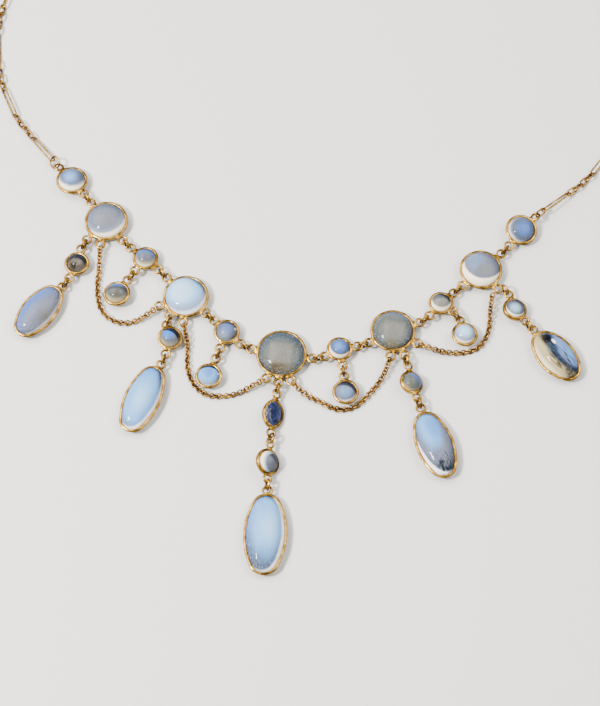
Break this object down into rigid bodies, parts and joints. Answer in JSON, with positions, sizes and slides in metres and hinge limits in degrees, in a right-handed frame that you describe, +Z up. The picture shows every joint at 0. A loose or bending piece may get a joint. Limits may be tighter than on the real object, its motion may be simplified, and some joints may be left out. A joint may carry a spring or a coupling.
{
  "type": "festoon necklace",
  "caption": "Festoon necklace of round bezel-set moonstones with oval drops, small pendants and chain swags on a fine neck chain with a barrel clasp, lying flat.",
  "frame": {"origin": "middle of the whole necklace's box, on the surface that it lies on", "axes": "+Z up from the surface, the drops point to -Y, the neck chain closes towards +Y, +X to the right as seen from above"},
  "size_m": [0.137, 0.1674, 0.0038],
  "materials": {
    "gold": "polished yellow gold with fine hand-made unevenness",
    "moonstone": "milky polished cabochon with a blue sheen",
    "sapphire": "dark blue faceted stone"
  },
  "bodies": {
    "root": {"setting_centre": "gold", "setting_spacer_inner_left": "gold", "setting_inner_left": "gold", "setting_spacer_outer_left": "gold", "setting_outer_left": "gold", "setting_end_left": "gold", "setting_spacer_inner_right": "gold", "setting_inner_right": "gold", "setting_spacer_outer_right": "gold", "setting_outer_right": "gold", "setting_end_right": "gold", "setting_pendant_outer_left": "gold", "setting_pendant_inner_left": "gold", "setting_pendant_inner_right": "gold", "setting_pendant_outer_right": "gold", "setting_drop_1_round": "gold", "setting_drop_1_oval": "gold", "setting_drop_2_round": "gold", "setting_drop_2_oval": "gold", "setting_drop_3_sapphire": "gold", "setting_drop_3_round": "gold", "setting_drop_3_oval": "gold", "setting_drop_4_round": "gold", "setting_drop_4_oval": "gold", "setting_drop_5_round": "gold", "setting_drop_5_oval": "gold", "stone_centre": "moonstone", "stone_spacer_inner_left": "moonstone", "stone_inner_left": "moonstone", "stone_spacer_outer_left": "moonstone", "stone_outer_left": "moonstone", "stone_end_left": "moonstone", "stone_spacer_inner_right": "moonstone", "stone_inner_right": "moonstone", "stone_spacer_outer_right": "moonstone", "stone_outer_right": "moonstone", "stone_end_right": "moonstone", "stone_pendant_outer_left": "moonstone", "stone_pendant_inner_left": "moonstone", "stone_pendant_inner_right": "moonstone", "stone_pendant_outer_right": "moonstone", "stone_drop_1_round": "moonstone", "stone_drop_1_oval": "moonstone", "stone_drop_2_round": "moonstone", "stone_drop_2_oval": "moonstone", "stone_drop_3_sapphire": "sapphire", "stone_drop_3_round": "moonstone", "stone_drop_3_oval": "moonstone", "stone_drop_4_round": "moonstone", "stone_drop_4_oval": "moonstone", "stone_drop_5_round": "moonstone", "stone_drop_5_oval": "moonstone", "jump_rings": "gold", "swag_1": "gold", "swag_2": "gold", "swag_3": "gold", "swag_4": "gold", "neck_chain_left": "gold", "neck_chain_right": "gold", "clasp": "gold"}
  },
  "joints": []
}
